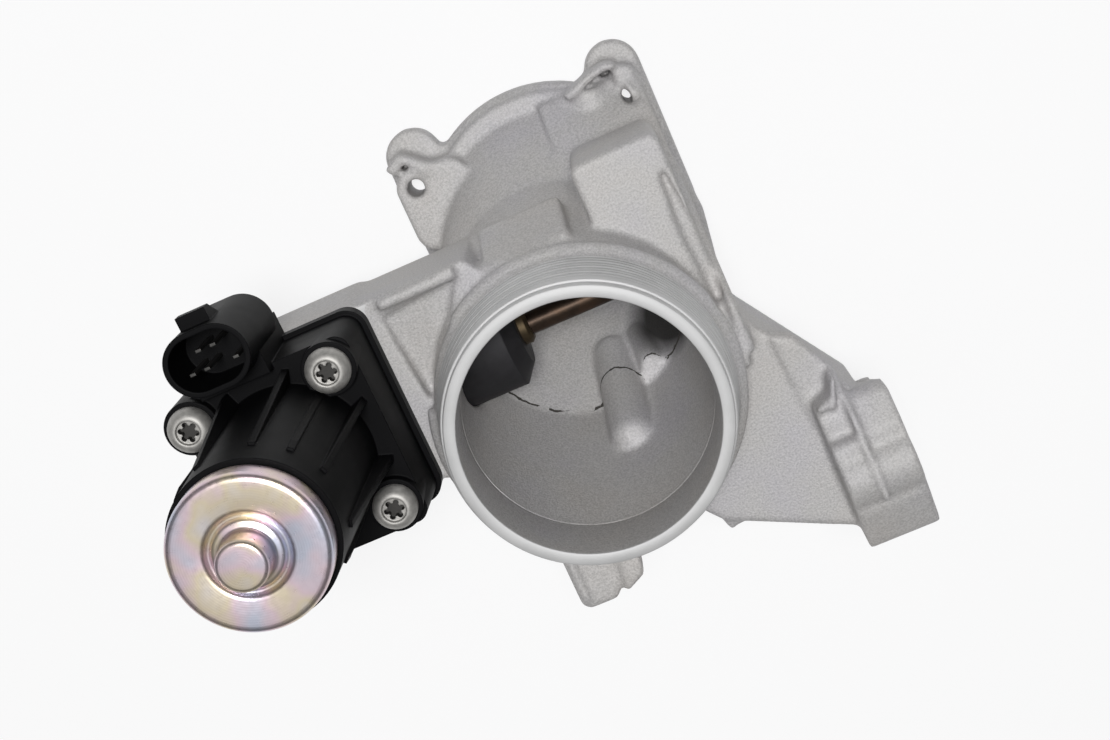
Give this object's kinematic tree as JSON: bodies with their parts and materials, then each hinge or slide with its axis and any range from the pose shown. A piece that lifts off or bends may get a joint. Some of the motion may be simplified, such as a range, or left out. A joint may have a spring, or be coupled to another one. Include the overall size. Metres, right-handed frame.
{
  "type": "exhaust gas recirculation valve",
  "caption": "Electric lift-type exhaust gas recirculation valve: cast air duct with hose spigot and manifold flange, side gas inlet, geared motor with cam-driven poppet.",
  "frame": {"origin": "centre of the manifold bore on the sealing face of the manifold flange", "axes": "+Z out of the air mouth (away from the manifold), +X out of the gas inlet flange along the valve stem, +Y towards the upper flange lugs"},
  "size_m": [0.1777, 0.1565, 0.171],
  "materials": {
    "cast": "as-cast, fine grain",
    "steel": "machined",
    "stemsteel": "heat-tinted",
    "darkcast": "dark cast",
    "bush": "turned",
    "seal": "matt",
    "spring": "drawn wire",
    "gearplastic": "moulded",
    "core": "laminated",
    "zinc": "iridescent zinc plating",
    "plastic": "moulded, fine grain",
    "screw": "zinc plated",
    "pin": "plated"
  },
  "bodies": {
    "valve_body": {"housing": "cast", "seat_ring": "steel", "guide_tower": "darkcast", "guide_bush": "bush", "stem_seal": "seal", "spring_seat": "steel", "return_spring": "spring", "output_bush": "bush", "intermediate_pin": "steel", "motor_can": "zinc", "motor_magnets": "core", "motor_end_cap": "zinc", "cover_gasket": "seal", "actuator_cover": "plastic", "cover_screws": "screw", "connector_pins": "pin"},
    "valve_stem": {"poppet": "stemsteel", "stem": "stemsteel", "spring_retainer": "steel", "stem_yoke": "steel", "follower_pin": "steel"},
    "cam_drive": {"cam": "steel", "output_shaft": "steel", "output_wheel": "gearplastic", "sensor_magnet": "core"},
    "intermediate_gear": {"intermediate_wheel": "gearplastic"},
    "rotor": {"rotor_shaft": "steel", "rotor_core": "core", "motor_pinion": "bush"},
    "roller": {"follower_roller": "steel"}
  },
  "joints": [
    {"name": "rotor_turn", "type": "hinge", "parent": "valve_body", "child": "rotor", "pos_m": [-0.0825, -0.019, 0.12], "axis": [0, 0, 1], "range_deg": [0, 811.2], "stiffness_Nm_per_rad": 0.0003, "springref_deg": -1128.73},
    {"name": "intermediate_turn", "type": "hinge", "parent": "valve_body", "child": "intermediate_gear", "pos_m": [-0.0825, -0.0334, 0.08], "axis": [0, 0, 1], "range_deg": [-313, 1]},
    {"name": "cam_turn", "type": "hinge", "parent": "valve_body", "child": "cam_drive", "pos_m": [-0.0825, -0.019, 0.06], "axis": [0, 0, 1], "range_deg": [-1, 121]},
    {"name": "valve_lift", "type": "slide", "parent": "valve_body", "child": "valve_stem", "axis": [-1, 0, 0], "range_m": [0, 0.00701], "deforming": ["return_spring"]},
    {"name": "roller_spin", "type": "hinge", "parent": "valve_stem", "child": "roller", "pos_m": [-0.065, -0.019, 0.0605], "axis": [0, 0, 1], "continuous": true}
  ],
  "couplings": [
    {"joint": "intermediate_turn", "follows": "rotor_turn", "ratio": -0.38462},
    {"joint": "cam_turn", "follows": "rotor_turn", "ratio": 0.14793},
    {"joint": "valve_lift", "follows": "rotor_turn", "m_per_rad": 0.00049442}
  ]
}
